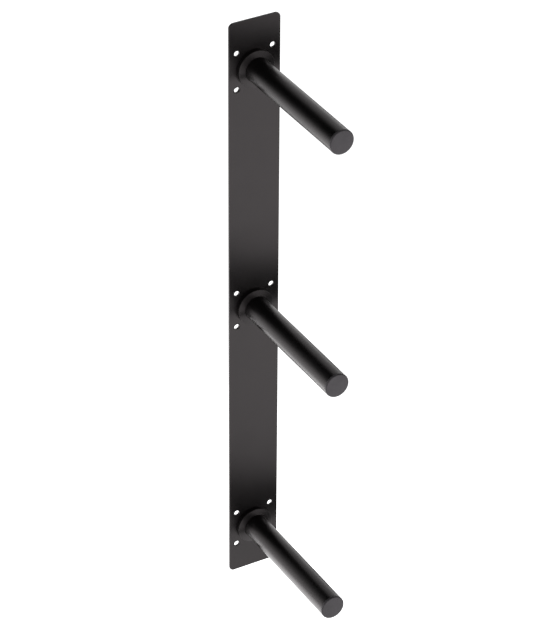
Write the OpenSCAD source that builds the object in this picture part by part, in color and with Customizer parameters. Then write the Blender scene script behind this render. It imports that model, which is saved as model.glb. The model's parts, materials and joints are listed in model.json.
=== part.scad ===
// Wall rack: a tall flat back plate that screws to a wall and carries three round pegs.
// Each peg is a tube fixed to the plate's front face through a collar, and closed by a push-in end cap.
// Frame: the origin is the centre of the back face, which lies on the wall.
// +X runs across the plate, +Z up it, and the pegs point out of the wall along -Y.

/* [Back plate] */
// Width of the plate
plate_w = 106; // [95:1:140]
// Height of the plate
plate_h = 1220; // [1160:5:1400]
// Thickness of the plate
plate_t = 4; // [3:0.5:8]
// Radius of the plate's four corners
corner_r = 10; // [4:1:14]

/* [Wall holes] */
// Diameter of each hole, a clearance hole for a 10 mm anchor bolt
hole_d = 11; // [6:0.5:13]
// Distance between the two holes of a row, across the plate
hole_pitch_x = 74; // [70:1:78]
// Distance between the two rows of holes round a peg
hole_pitch_z = 74; // [70:1:120]

/* [Pegs] */
// Distance from one peg's axis to the next
peg_pitch = 510; // [460:5:560]
// Outside diameter of a peg's tube
peg_d = 48.3; // [42:0.1:49.5]
// Wall thickness of a peg's tube
peg_wall = 3.2; // [2:0.1:4]
// How far a peg reaches out of the plate's front face, its cap included
peg_reach = 310; // [200:5:400]

/* [Collars] */
// Outside diameter of the collar round a peg's root
collar_d = 74; // [60:1:80]
// How far a collar stands out from the plate, beside the tube
collar_t = 11; // [6:0.5:14]
// Angle of a collar's front face, which falls away from the tube
collar_slope = 12; // [0:1:20]
// Radius of a collar's front edge
collar_edge_r = 0.5; // [0.3:0.1:2]
// How much the tube is turned down where it sits in its collar, on the radius
root_step = 1; // [0.5:0.1:1.5]

/* [End caps] */
// Thickness of the cap's flange, which covers the tube's end
flange_t = 5; // [3:0.5:6]
// How far the flange stands proud of the tube, on the radius
flange_lip = 0.2; // [0:0.05:0.2]
// Radius of the flange's front edge
flange_edge_r = 2.5; // [0.5:0.1:2.9]
// Length of the plug inside the tube
plug_len = 24; // [15:1:40]
// Number of gripping fins round the plug
fin_count = 4; // [2:1:5]

/* [Hidden] */
$fn = 96;

coat_colour = "#2b2a2b";     // satin black powder coat
plastic_colour = "#3a393b";  // black moulded plastic, a shade lighter

peg_r = peg_d / 2;
bore_r = peg_r - peg_wall;
tube_len = peg_reach - flange_t;
levels = [1, 0, -1];         // upper, middle and lower peg, in pitches from the plate's centre

plug_wall = 2;
plug_gap = 1;                // between the plug's wall and the tube's bore
fin_t = 1.2;
fin_gap = 0.05;              // keeps the pressed fins just clear of the bore
fin_pitch = 4.5;
fin_first = 4;               // from the tube's end to the first fin
overlap = 1;                 // buries joined shapes in each other, and lets a cutter pass a face

// Moves its children to a peg: their +z runs along the peg's axis, from the plate's front face.
module at_peg(level) {
    translate([0, -plate_t, level * peg_pitch])
        rotate([90, 0, 0])
            children();
}

// Copies its children to the four corners of a w by h rectangle.
module at_corners(w, h) {
    for (x = [-w / 2, w / 2], y = [-h / 2, h / 2])
        translate([x, y])
            children();
}

module rounded_rectangle(w, h, r) {
    square([w, h - 2 * r], center = true);
    square([w - 2 * r, h], center = true);
    at_corners(w - 2 * r, h - 2 * r)
        circle(r = r);
}

module back_plate() {
    color(coat_colour)
        rotate([90, 0, 0])
            linear_extrude(plate_t)
                difference() {
                    rounded_rectangle(plate_w, plate_h, corner_r);
                    for (level = levels)
                        translate([0, level * peg_pitch])
                            at_corners(hole_pitch_x, hole_pitch_z)
                                circle(d = hole_d);
                }
}

// The tube's root is turned down, and its shoulder rests on the collar.
module peg_tube(level) {
    color(coat_colour)
        at_peg(level)
            difference() {
                union() {
                    cylinder(r = peg_r - root_step, h = tube_len);
                    translate([0, 0, collar_t])
                        cylinder(r = peg_r, h = tube_len - collar_t);
                }
                translate([0, 0, -overlap])
                    cylinder(r = bore_r, h = tube_len + 2 * overlap);
            }
}

// Half of a collar's section. Its front face falls away from the tube, and its front edge is rounded.
module collar_section() {
    root_r = peg_r - root_step;
    edge_r = collar_d / 2 - collar_edge_r;
    rim_r = edge_r + collar_edge_r * sin(collar_slope);
    rim_z = collar_t - (rim_r - peg_r) * tan(collar_slope);
    edge_z = rim_z - collar_edge_r * cos(collar_slope);
    translate([root_r, 0])
        square([collar_d / 2 - root_r, edge_z]);
    polygon([[root_r, 0], [edge_r, 0], [edge_r, edge_z], [rim_r, rim_z], [peg_r, collar_t], [root_r, collar_t]]);
    translate([edge_r, edge_z])
        circle(r = collar_edge_r);
}

module collar(level) {
    color(coat_colour)
        at_peg(level)
            rotate_extrude()
                collar_section();
}

// Half of the flange's section, with its front edge rounded.
module flange_section() {
    flange_r = peg_r + flange_lip;
    square([flange_r, flange_t - flange_edge_r]);
    square([flange_r - flange_edge_r, flange_t]);
    translate([flange_r - flange_edge_r, flange_t - flange_edge_r])
        circle(r = flange_edge_r);
}

// Half of the plug's section: a thin sleeve behind the flange, with fins that grip the bore.
module plug_section() {
    plug_r = bore_r - plug_gap;
    fin_reach = plug_gap - fin_gap;
    translate([plug_r - plug_wall, -plug_len])
        square([plug_wall, plug_len + overlap]);
    for (i = [0 : fin_count - 1])
        translate([plug_r - overlap, -fin_first - i * fin_pitch - fin_t])
            square([fin_reach + overlap, fin_t]);
}

module end_cap(level) {
    color(plastic_colour)
        at_peg(level)
            translate([0, 0, tube_len])
                rotate_extrude() {
                    flange_section();
                    plug_section();
                }
}

back_plate();
peg_tube(levels[0]);  // upper_peg_tube
peg_tube(levels[1]);  // middle_peg_tube
peg_tube(levels[2]);  // lower_peg_tube
collar(levels[0]);  // upper_collar
collar(levels[1]);  // middle_collar
collar(levels[2]);  // lower_collar
end_cap(levels[0]);  // upper_end_cap
end_cap(levels[1]);  // middle_end_cap
end_cap(levels[2]);  // lower_end_cap
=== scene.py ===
import json
import math

import bmesh
import bpy
from mathutils import Matrix, Vector, geometry


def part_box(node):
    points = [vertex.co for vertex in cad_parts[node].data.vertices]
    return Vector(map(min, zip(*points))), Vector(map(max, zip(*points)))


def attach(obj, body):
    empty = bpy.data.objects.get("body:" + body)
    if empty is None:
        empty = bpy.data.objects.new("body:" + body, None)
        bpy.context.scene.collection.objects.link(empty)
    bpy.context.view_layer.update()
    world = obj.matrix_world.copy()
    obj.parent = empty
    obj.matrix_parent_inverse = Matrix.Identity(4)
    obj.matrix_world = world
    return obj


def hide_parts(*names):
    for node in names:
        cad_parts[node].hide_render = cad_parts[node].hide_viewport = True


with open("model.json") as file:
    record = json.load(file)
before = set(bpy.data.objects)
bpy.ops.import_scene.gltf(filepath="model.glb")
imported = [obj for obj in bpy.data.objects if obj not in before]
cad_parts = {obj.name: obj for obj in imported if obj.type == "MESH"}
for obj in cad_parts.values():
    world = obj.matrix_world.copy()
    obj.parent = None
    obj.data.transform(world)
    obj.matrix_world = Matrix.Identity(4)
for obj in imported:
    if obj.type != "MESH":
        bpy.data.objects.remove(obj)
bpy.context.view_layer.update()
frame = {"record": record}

# Sizes are in metres. What the frame states is read from it; the rest is named here.
LEVELS = ("upper", "middle", "lower")
PLATE_LOW, PLATE_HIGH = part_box("back_plate")
PLATE_W = PLATE_HIGH.x - PLATE_LOW.x
PLATE_H = PLATE_HIGH.z - PLATE_LOW.z
PLATE_T = PLATE_HIGH.y - PLATE_LOW.y
CORNER_R = 0.010          # radius of the plate's corners
EDGE_R = 0.0006           # coated outer edge of the plate
HOLE_EDGE_R = 0.0004      # coated edge of a wall hole
RIM = 0.0012              # band beside an edge where the coat thins out
GRID = 0.012              # spacing of the points inside the plate's faces
TUBE_WALL = 0.0032
TUBE_LIP_R = 0.0006       # rounded outer edge of a tube's open end
ROOT_STEP = 0.001         # how far a tube's root is turned down, on the radius
SHOULDER_DIP = 0.0008     # how far a tube's shoulder sinks past its collar's broken edge
COLLAR_EDGE_R = 0.0005    # front edge of a collar
BORE_EDGE_R = 0.0006      # broken edge of a collar beside its tube
COLLAR_SLOPE = 12.0       # degrees by which a collar's front face falls away from the tube
COLLAR_BACK_IN = 0.0003   # how far a collar's broken back edge reaches in from its side
COLLAR_BACK_UP = 0.0005   # and how far it reaches out from the plate
PLUG_GAP = 0.001          # from a plug's sleeve to the tube's bore
PLUG_WALL = 0.002
PLUG_FLOOR = 0.001        # how far a plug's hollow stops short of the tube's end
FLANGE_EDGE_R = 0.0025
FLANGE_BACK_R = 0.0004    # edge of a cap's flange beside the tube
CAP_DOME = 0.0006         # how far a cap's face rises from its edge to its middle
FIN_COUNT = 4
FIN_GAP = 0.00005         # from a fin to the tube's bore
FIN_T = 0.0012
FIN_PITCH = 0.0045
FIN_FIRST = 0.004         # from the tube's end to the first fin


# ---------------------------------------------------------------- camera

def place_camera():
    """The camera looks down on the rack from its upper left, from far away through a long lens."""
    azimuth, elevation, roll = (math.radians(a) for a in (-29.807, 33.044, 0.371))
    distance = 6.253
    target = Vector((0.0361, PLATE_LOW.y, -0.0323))
    back = Vector((
        math.sin(azimuth) * math.cos(elevation),
        -math.cos(azimuth) * math.cos(elevation),
        math.sin(elevation),
    ))
    right = Vector((math.cos(azimuth), math.sin(azimuth), 0))
    up = back.cross(right)
    side = right * math.cos(roll) + up * math.sin(roll)
    top = up * math.cos(roll) - right * math.sin(roll)
    data = bpy.data.cameras.new("camera")
    data.lens = 188.94
    data.sensor_width = 36
    data.clip_end = 100
    camera = bpy.data.objects.new("camera", data)
    turn = Matrix((side, top, back)).transposed().to_4x4()
    camera.matrix_world = Matrix.Translation(target + back * distance) @ turn
    bpy.context.scene.collection.objects.link(camera)
    bpy.context.scene.camera = camera


# ---------------------------------------------------------------- shapes

def arc(centre, radius, start, end, steps):
    """Points on a circle's arc, angles in degrees."""
    points = []
    for k in range(steps + 1):
        angle = math.radians(start + (end - start) * k / steps)
        points.append((centre[0] + radius * math.cos(angle), centre[1] + radius * math.sin(angle)))
    return points


def finished(name, bm):
    """The object made from a bmesh, smooth but for its real edges."""
    bmesh.ops.recalc_face_normals(bm, faces=bm.faces)
    mesh = bpy.data.meshes.new(name)
    bm.to_mesh(mesh)
    bm.free()
    mesh.shade_smooth()
    mesh.set_sharp_from_angle(angle=math.radians(50))
    piece = bpy.data.objects.new(name, mesh)
    bpy.context.scene.collection.objects.link(piece)
    weighted = piece.modifiers.new("weighted_normals", "WEIGHTED_NORMAL")
    weighted.keep_sharp = True
    return piece


def revolve(name, section, axis_z, steps):
    """Turns a section of (radius, distance out from the wall) points about a peg's axis.

    The section is a closed loop, or it starts and ends on the axis.
    """
    bm = bmesh.new()
    rings = []
    for radius, out in section:
        if radius == 0:
            rings.append([bm.verts.new((0, -out, axis_z))] * steps)
            continue
        ring = []
        for k in range(steps):
            angle = 2 * math.pi * k / steps
            ring.append(bm.verts.new((radius * math.cos(angle), -out, axis_z + radius * math.sin(angle))))
        rings.append(ring)
    pairs = list(zip(rings, rings[1:]))
    if section[0][0] > 0:
        pairs.append((rings[-1], rings[0]))
    for near, far in pairs:
        for k in range(steps):
            n = (k + 1) % steps
            corners = list(dict.fromkeys((near[k], near[n], far[n], far[k])))
            bm.faces.new(corners)
    return finished(name, bm)


# ---------------------------------------------------------------- back plate

def wall_holes():
    """(centre x, centre z, radius) of every hole in the plate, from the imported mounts."""
    holes = []
    for mount in frame["record"]["mounts"]:
        if mount["kind"] != "bolt_pattern":
            continue
        dims = mount["dims"]
        half_x, half_z = dims["spacing_x_mm"] / 2000, dims["spacing_y_mm"] / 2000
        for side_x in (-1, 1):
            for side_z in (-1, 1):
                x = mount["pos_m"][0] + side_x * half_x
                z = mount["pos_m"][2] + side_z * half_z
                holes.append((x, z, dims["hole_r_mm"] / 1000))
    return holes


def plate_outline(inset):
    """The plate's outline, this far inside its edge."""
    radius = CORNER_R - inset
    half_w, half_h = PLATE_W / 2 - CORNER_R, PLATE_H / 2 - CORNER_R
    corners = ((half_w, half_h), (-half_w, half_h), (-half_w, -half_h), (half_w, -half_h))
    points = []
    for quarter, corner in enumerate(corners):
        points += arc(corner, radius, 90 * quarter, 90 * quarter + 90, 10)
    return points


def hole_outline(hole, inset):
    """A hole's outline on the plate's face, this far outside its edge."""
    x, z, radius = hole
    return arc((x, z), radius + inset, 0, 352.5, 47)


def edge_section(radius):
    """(inset, y, is on the edge) from the front face over a rounded edge, down the side and onto the back."""
    front, back = -PLATE_T, 0.0
    section = [(radius + RIM, front, 0.0)]
    section += [(radius - x, front + radius - y, 1.0) for x, y in arc((0, 0), radius, 90, 0, 5)]
    section += [(radius - x, back - radius + y, 1.0) for x, y in arc((0, 0), radius, 0, 90, 5)]
    section.append((radius + RIM, back, 0.0))
    return section


def fill_face(bm, loops, y, holes):
    """Fills a face of the plate between its outline and its holes with even triangles."""
    verts, edges = [], []
    for loop in loops:
        first = len(verts)
        verts += loop
        edges += [(first + k, first + (k + 1) % len(loop)) for k in range(len(loop))]
    points = [Vector((v.co.x, v.co.z)) for v in verts]
    margin = CORNER_R
    columns = int((PLATE_W - 2 * margin) / GRID)
    rows = int((PLATE_H - 2 * margin) / GRID)
    for i in range(columns + 1):
        for j in range(rows + 1):
            x = (i / columns - 0.5) * (PLATE_W - 2 * margin)
            z = (j / rows - 0.5) * (PLATE_H - 2 * margin)
            if all(math.hypot(x - h[0], z - h[1]) > h[2] + 2 * RIM for h in holes):
                points.append(Vector((x, z)))
    found, _, faces, origin, _, _ = geometry.delaunay_2d_cdt(points, edges, [], 0, 1e-7)
    placed = []
    for co, came_from in zip(found, origin):
        known = [i for i in came_from if i < len(verts)]
        placed.append(verts[known[0]] if known else bm.verts.new((co.x, y, co.y)))
    for face in faces:
        middle = sum((found[i] for i in face), Vector((0, 0))) / len(face)
        if all(math.hypot(middle.x - h[0], middle.y - h[1]) > h[2] for h in holes):
            bm.faces.new([placed[i] for i in face])


def make_plate():
    """The flat plate, with rounded corners, wall holes and softly coated edges."""
    bm = bmesh.new()
    edge = bm.verts.layers.float.new("edge")
    holes = wall_holes()
    outlines = [(plate_outline, EDGE_R)]
    outlines += [(lambda inset, hole=hole: hole_outline(hole, inset), HOLE_EDGE_R) for hole in holes]
    front_loops, back_loops = [], []
    for outline, radius in outlines:
        rings = []
        for inset, y, worn in edge_section(radius):
            ring = [bm.verts.new((x, y, z)) for x, z in outline(inset)]
            for vert in ring:
                vert[edge] = worn
            rings.append(ring)
        for near, far in zip(rings, rings[1:]):
            for k in range(len(near)):
                n = (k + 1) % len(near)
                bm.faces.new((near[k], near[n], far[n], far[k]))
        front_loops.append(rings[0])
        back_loops.append(rings[-1])
    fill_face(bm, front_loops, -PLATE_T, holes)
    fill_face(bm, back_loops, 0.0, holes)
    return finished("back_plate_coated", bm)


# ---------------------------------------------------------------- pegs

def peg_sizes(level):
    """Radius, root, end and axis height of a peg's tube, from the frame."""
    low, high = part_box(f"{level}_peg_tube")
    return (high.x - low.x) / 2, -high.y, -low.y, (low.z + high.z) / 2


def make_tube(level):
    """The peg's tube, open at both ends, its outer end slightly rounded by the saw and the coat."""
    radius, root, end, axis_z = peg_sizes(level)
    collar_low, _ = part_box(f"{level}_collar")
    shoulder = -collar_low.y
    bore = radius - TUBE_WALL
    root_r = radius - ROOT_STEP
    first, last = shoulder - SHOULDER_DIP, end - TUBE_LIP_R
    along = 48
    section = [(bore, root), (root_r, root), (root_r, first)]
    for k in range(along + 1):
        section.append((radius, first + (last - first) * k / along))
    section += arc((radius - TUBE_LIP_R, last), TUBE_LIP_R, 0, 90, 4)[1:]
    section.append((bore, end))
    return revolve(f"{level}_tube_coated", section, axis_z, 128)


def make_collar(level):
    """The collar round a peg's root: a face that falls away from the tube, between two rounded edges."""
    low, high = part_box(f"{level}_collar")
    tube_r, root, _, axis_z = peg_sizes(level)
    collar_r, front = (high.x - low.x) / 2, -low.y
    tilt = math.radians(COLLAR_SLOPE)
    inner = tube_r + BORE_EDGE_R * (1 + math.sin(tilt))
    outer = collar_r - COLLAR_EDGE_R * (1 - math.sin(tilt))
    face = []
    across = 6
    for k in range(across + 1):
        out = inner + (outer - inner) * k / across
        face.append((out, front - (out - tube_r) * math.tan(tilt)))
    bore_centre = (tube_r + BORE_EDGE_R, face[0][1] - BORE_EDGE_R * math.cos(tilt))
    rim_centre = (collar_r - COLLAR_EDGE_R, face[-1][1] - COLLAR_EDGE_R * math.cos(tilt))
    root_r = tube_r - ROOT_STEP
    section = [(root_r, root), (root_r, bore_centre[1])]
    section += arc(bore_centre, BORE_EDGE_R, 180, 90 - COLLAR_SLOPE, 6)
    section += face[1:]
    section += arc(rim_centre, COLLAR_EDGE_R, 90 - COLLAR_SLOPE, 0, 8)[1:]
    section += [(collar_r, root + COLLAR_BACK_UP), (collar_r - COLLAR_BACK_IN, root)]
    return revolve(f"{level}_collar_coated", section, axis_z, 160)


def make_cap(level):
    """The push-in cap: a flange with a rounded edge and a faintly domed face, and a finned plug."""
    low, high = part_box(f"{level}_end_cap")
    tube_r, _, tube_end, axis_z = peg_sizes(level)
    flange_r, face, plug_end = (high.x - low.x) / 2, -low.y, -high.y
    bore = tube_r - TUBE_WALL
    plug_r = bore - PLUG_GAP
    fin_r = bore - FIN_GAP
    rim = (flange_r - FLANGE_EDGE_R, face - CAP_DOME)
    section = [(0, face)]
    across = 12
    for k in range(1, across + 1):
        share = k / across
        section.append((rim[0] * share, face - CAP_DOME * share ** 2))
    tilt = math.degrees(math.atan(2 * CAP_DOME / rim[0]))
    edge_centre = (rim[0], rim[1] - FLANGE_EDGE_R)
    section += arc(edge_centre, FLANGE_EDGE_R, 90 - tilt, 0, 12)[1:]
    back_centre = (flange_r - FLANGE_BACK_R, tube_end + FLANGE_BACK_R)
    section += arc(back_centre, FLANGE_BACK_R, 0, -90, 4)
    section.append((plug_r, tube_end))
    for k in range(FIN_COUNT):
        out = tube_end - FIN_FIRST - k * FIN_PITCH
        section += [(plug_r, out), (fin_r, out - FIN_T * 0.3)]
        section += [(fin_r, out - FIN_T * 0.6), (plug_r, out - FIN_T)]
    hollow_r, hollow_end = plug_r - PLUG_WALL, tube_end + PLUG_FLOOR
    section += [(plug_r, plug_end), (hollow_r, plug_end), (hollow_r, hollow_end), (0, hollow_end)]
    return revolve(f"{level}_cap_moulded", section, axis_z, 128)


# ---------------------------------------------------------------- materials

def add(tree, kind, **values):
    """A new node, its sockets set by name."""
    made = tree.nodes.new(kind)
    for name, value in values.items():
        made.inputs[name.replace("_", " ")].default_value = value
    return made


def new_material(name):
    material = bpy.data.materials.new(name)
    material.use_nodes = True
    return material, material.node_tree, material.node_tree.nodes["Principled BSDF"]


def noise_at(tree, coords, scale, detail):
    made = add(tree, "ShaderNodeTexNoise", Scale=scale, Detail=detail)
    tree.links.new(coords.outputs["Object"], made.inputs["Vector"])
    return made.outputs["Fac"]


def ranged(tree, value, low, high, start=0.3, end=0.7):
    made = add(tree, "ShaderNodeMapRange", From_Min=start, From_Max=end, To_Min=low, To_Max=high)
    tree.links.new(value, made.inputs["Value"])
    return made.outputs["Result"]


def mixed(tree, factor, first, second):
    """A colour between two, each of them a colour or a socket."""
    made = tree.nodes.new("ShaderNodeMix")
    made.data_type = "RGBA"
    tree.links.new(factor, made.inputs["Factor"])
    for name, value in (("A", first), ("B", second)):
        socket = next(s for s in made.inputs if s.name == name and s.type == "RGBA")
        if isinstance(value, tuple):
            socket.default_value = (*value, 1)
        else:
            tree.links.new(value, socket)
    return next(s for s in made.outputs if s.type == "RGBA")


def bumped(tree, height, distance, below=None):
    made = add(tree, "ShaderNodeBump", Distance=distance)
    tree.links.new(height, made.inputs["Height"])
    if below:
        tree.links.new(below, made.inputs["Normal"])
    return made.outputs["Normal"]


def powder_coat():
    """Satin black powder coat: orange peel, fine grain, faint clouds, and paler where it thins on edges."""
    material, tree, shader = new_material("powder_coat")
    coords = tree.nodes.new("ShaderNodeTexCoord")
    clouds = noise_at(tree, coords, 14, 4)
    grain = noise_at(tree, coords, 1100, 2)
    peel = noise_at(tree, coords, 320, 2)
    base = mixed(tree, ranged(tree, clouds, 0, 1), (0.0012, 0.0011, 0.0011), (0.0022, 0.0020, 0.0020))
    speckled = mixed(tree, ranged(tree, grain, 0, 0.5, 0.55, 0.8), base, (0.006, 0.0056, 0.0056))
    edge = tree.nodes.new("ShaderNodeAttribute")
    edge.attribute_name = "edge"
    worn = add(tree, "ShaderNodeMath")
    worn.operation = "MULTIPLY"
    tree.links.new(edge.outputs["Fac"], worn.inputs[0])
    tree.links.new(ranged(tree, peel, 0.15, 0.7), worn.inputs[1])
    colour = mixed(tree, worn.outputs["Value"], speckled, (0.025, 0.0235, 0.024))
    tree.links.new(colour, shader.inputs["Base Color"])
    tree.links.new(ranged(tree, clouds, 0.32, 0.37), shader.inputs["Roughness"])
    shader.inputs["Specular Tint"].default_value = (1, 0.90, 0.92, 1)
    normal = bumped(tree, peel, 0.00003)
    tree.links.new(bumped(tree, grain, 0.000008, normal), shader.inputs["Normal"])
    return material


def cap_plastic():
    """Black polyethylene: a fine spark-eroded grain, duller and a little greyer than the coat."""
    material, tree, shader = new_material("cap_plastic")
    coords = tree.nodes.new("ShaderNodeTexCoord")
    clouds = noise_at(tree, coords, 45, 3)
    grain = noise_at(tree, coords, 1800, 2)
    colour = mixed(tree, ranged(tree, clouds, 0, 1), (0.034, 0.032, 0.035), (0.046, 0.0435, 0.047))
    tree.links.new(colour, shader.inputs["Base Color"])
    tree.links.new(ranged(tree, grain, 0.42, 0.54), shader.inputs["Roughness"])
    shader.inputs["Specular Tint"].default_value = (1, 0.92, 0.98, 1)
    tree.links.new(bumped(tree, grain, 0.00002), shader.inputs["Normal"])
    return material


# ---------------------------------------------------------------- surroundings

def summed(tree, first, second):
    """The sum of a socket and a second one, or a number."""
    made = tree.nodes.new("ShaderNodeMath")
    made.operation = "ADD"
    tree.links.new(first, made.inputs[0])
    if isinstance(second, float):
        made.inputs[1].default_value = second
    else:
        tree.links.new(second, made.inputs[1])
    return made.outputs["Value"]


def eased(tree, value, start, end, low, high):
    """A smooth step from low at start to high at end."""
    made = add(tree, "ShaderNodeMapRange", From_Min=start, From_Max=end, To_Min=low, To_Max=high)
    made.interpolation_type = "SMOOTHSTEP"
    tree.links.new(value, made.inputs["Value"])
    return made.outputs["Result"]


def sky_light(tree, coords, direction, full, none, strength):
    """Light from a round part of the surroundings, full inside one angle and none outside the other."""
    towards = tree.nodes.new("ShaderNodeVectorMath")
    towards.operation = "DOT_PRODUCT"
    towards.inputs[1].default_value = Vector(direction).normalized()
    tree.links.new(coords.outputs["Generated"], towards.inputs[0])
    start, end = math.cos(math.radians(none)), math.cos(math.radians(full))
    return eased(tree, towards.outputs["Value"], start, end, 0, strength)


def floor_light(tree, coords, centre, radius, strength):
    """Light from the floor that falls off round a point."""
    gap = tree.nodes.new("ShaderNodeVectorMath")
    gap.operation = "DISTANCE"
    gap.inputs[1].default_value = (*centre, 0)
    tree.links.new(coords.outputs["Object"], gap.inputs[0])
    return eased(tree, gap.outputs["Value"], 0, radius, strength, 0)


def paint_world():
    """A pale horizon under an unlit ceiling, a soft light behind on the right and a dimmer one in front."""
    world = bpy.data.worlds.new("studio")
    bpy.context.scene.world = world
    world.use_nodes = True
    tree = world.node_tree
    coords = tree.nodes.new("ShaderNodeTexCoord")
    parts = tree.nodes.new("ShaderNodeSeparateXYZ")
    tree.links.new(coords.outputs["Generated"], parts.inputs["Vector"])
    horizon = 0.85
    pale_below, dark_above = (math.sin(math.radians(a)) for a in (5, 16))
    lamps = (
        ((0.59, 0.73, 0.34), 15, 45, 0.75),
        ((-0.2, -0.9, 0.4), 30, 85, 0.35),
    )
    light = eased(tree, parts.outputs["Z"], pale_below, dark_above, horizon, 0)
    for direction, full, none, strength in lamps:
        light = summed(tree, light, sky_light(tree, coords, direction, full, none, strength))
    background = tree.nodes["Background"]
    background.inputs["Color"].default_value = (1, 1, 1, 1)
    tree.links.new(light, background.inputs["Strength"])


def make_floor():
    """A plain pale floor below the rack, which glows evenly, with brighter pools round the rack."""
    size, drop = 60, 0.5
    glow = 0.85
    pools = (
        ((-0.3, 0.5), 1.4, 1.6),
        ((0.7, -1.4), 1.6, 0.4),
        ((2.0, -3.0), 3.5, 0.9),
        ((-1.2, 0.8), 1.6, 2.1),
        ((0.6, 1.2), 1.6, 0.45),
        ((1.6, 3.0), 2.6, 0.4),
    )
    bm = bmesh.new()
    bmesh.ops.create_grid(bm, x_segments=8, y_segments=8, size=size)
    mesh = bpy.data.meshes.new("floor")
    bm.to_mesh(mesh)
    bm.free()
    floor = bpy.data.objects.new("floor", mesh)
    floor.location.z = PLATE_LOW.z - drop
    bpy.context.scene.collection.objects.link(floor)
    material, tree, shader = new_material("floor")
    coords = tree.nodes.new("ShaderNodeTexCoord")
    light = floor_light(tree, coords, *pools[0])
    for pool in pools[1:]:
        light = summed(tree, light, floor_light(tree, coords, *pool))
    light = summed(tree, light, glow)
    shader.inputs["Base Color"].default_value = (0.1, 0.1, 0.1, 1)
    shader.inputs["Roughness"].default_value = 0.9
    shader.inputs["Specular IOR Level"].default_value = 0.1
    shader.inputs["Emission Color"].default_value = (1, 1, 1, 1)
    tree.links.new(light, shader.inputs["Emission Strength"])
    mesh.materials.append(material)


def hang_card(name, corners, material):
    """A flat card that only reflections see."""
    bm = bmesh.new()
    bm.faces.new([bm.verts.new(corner) for corner in corners])
    mesh = bpy.data.meshes.new(name)
    bm.to_mesh(mesh)
    bm.free()
    mesh.materials.append(material)
    card = bpy.data.objects.new(name, mesh)
    bpy.context.scene.collection.objects.link(card)
    card.visible_camera = card.visible_diffuse = card.visible_shadow = False


def hang_screen():
    """A lit screen behind the rack on the left, brightest at the floor and fading out above the rack."""
    left, right, behind = -2.6, -0.2, 1.6
    bottom, top = -1.1, 1.5
    brightest_below, dark_above, radiance = -0.6, 1.2, 1.7
    material, tree, shader = new_material("screen")
    coords = tree.nodes.new("ShaderNodeTexCoord")
    parts = tree.nodes.new("ShaderNodeSeparateXYZ")
    tree.links.new(coords.outputs["Object"], parts.inputs["Vector"])
    shader.inputs["Base Color"].default_value = (0, 0, 0, 1)
    shader.inputs["Specular IOR Level"].default_value = 0
    shader.inputs["Emission Color"].default_value = (1, 1, 1, 1)
    light = eased(tree, parts.outputs["Z"], brightest_below, dark_above, radiance, 0)
    tree.links.new(light, shader.inputs["Emission Strength"])
    corners = ((left, behind, bottom), (right, behind, bottom), (right, behind, top), (left, behind, top))
    hang_card("screen", corners, material)


def hang_flags():
    """Black cards, one level with each peg, as a photographer shades a glossy plate."""
    drop = 0.03
    outline = ((-0.055, 0.035), (0.20, 0.035), (0.20, 0.13), (0.05, 0.22), (0.0, 0.075))
    material, _, shader = new_material("flag")
    shader.inputs["Base Color"].default_value = (0, 0, 0, 1)
    shader.inputs["Specular IOR Level"].default_value = 0
    for level in LEVELS:
        _, root, _, axis_z = peg_sizes(level)
        corners = [(x, -root - out, axis_z - drop) for x, out in outline]
        hang_card(f"flag_{level}", corners, material)


# ---------------------------------------------------------------- assembly

def settle(piece, node, material):
    """Finishes a piece, lets it stand for its CAD node, and fixes it to the rack's one body."""
    piece.data.materials.append(material)
    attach(piece, "root")
    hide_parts(node)


place_camera()
paint_world()
make_floor()
hang_screen()
hang_flags()
bpy.context.scene.view_settings.view_transform = "Standard"

COAT, PLASTIC = powder_coat(), cap_plastic()
settle(make_plate(), "back_plate", COAT)
for level in LEVELS:
    settle(make_tube(level), f"{level}_peg_tube", COAT)
    settle(make_collar(level), f"{level}_collar", COAT)
    settle(make_cap(level), f"{level}_end_cap", PLASTIC)
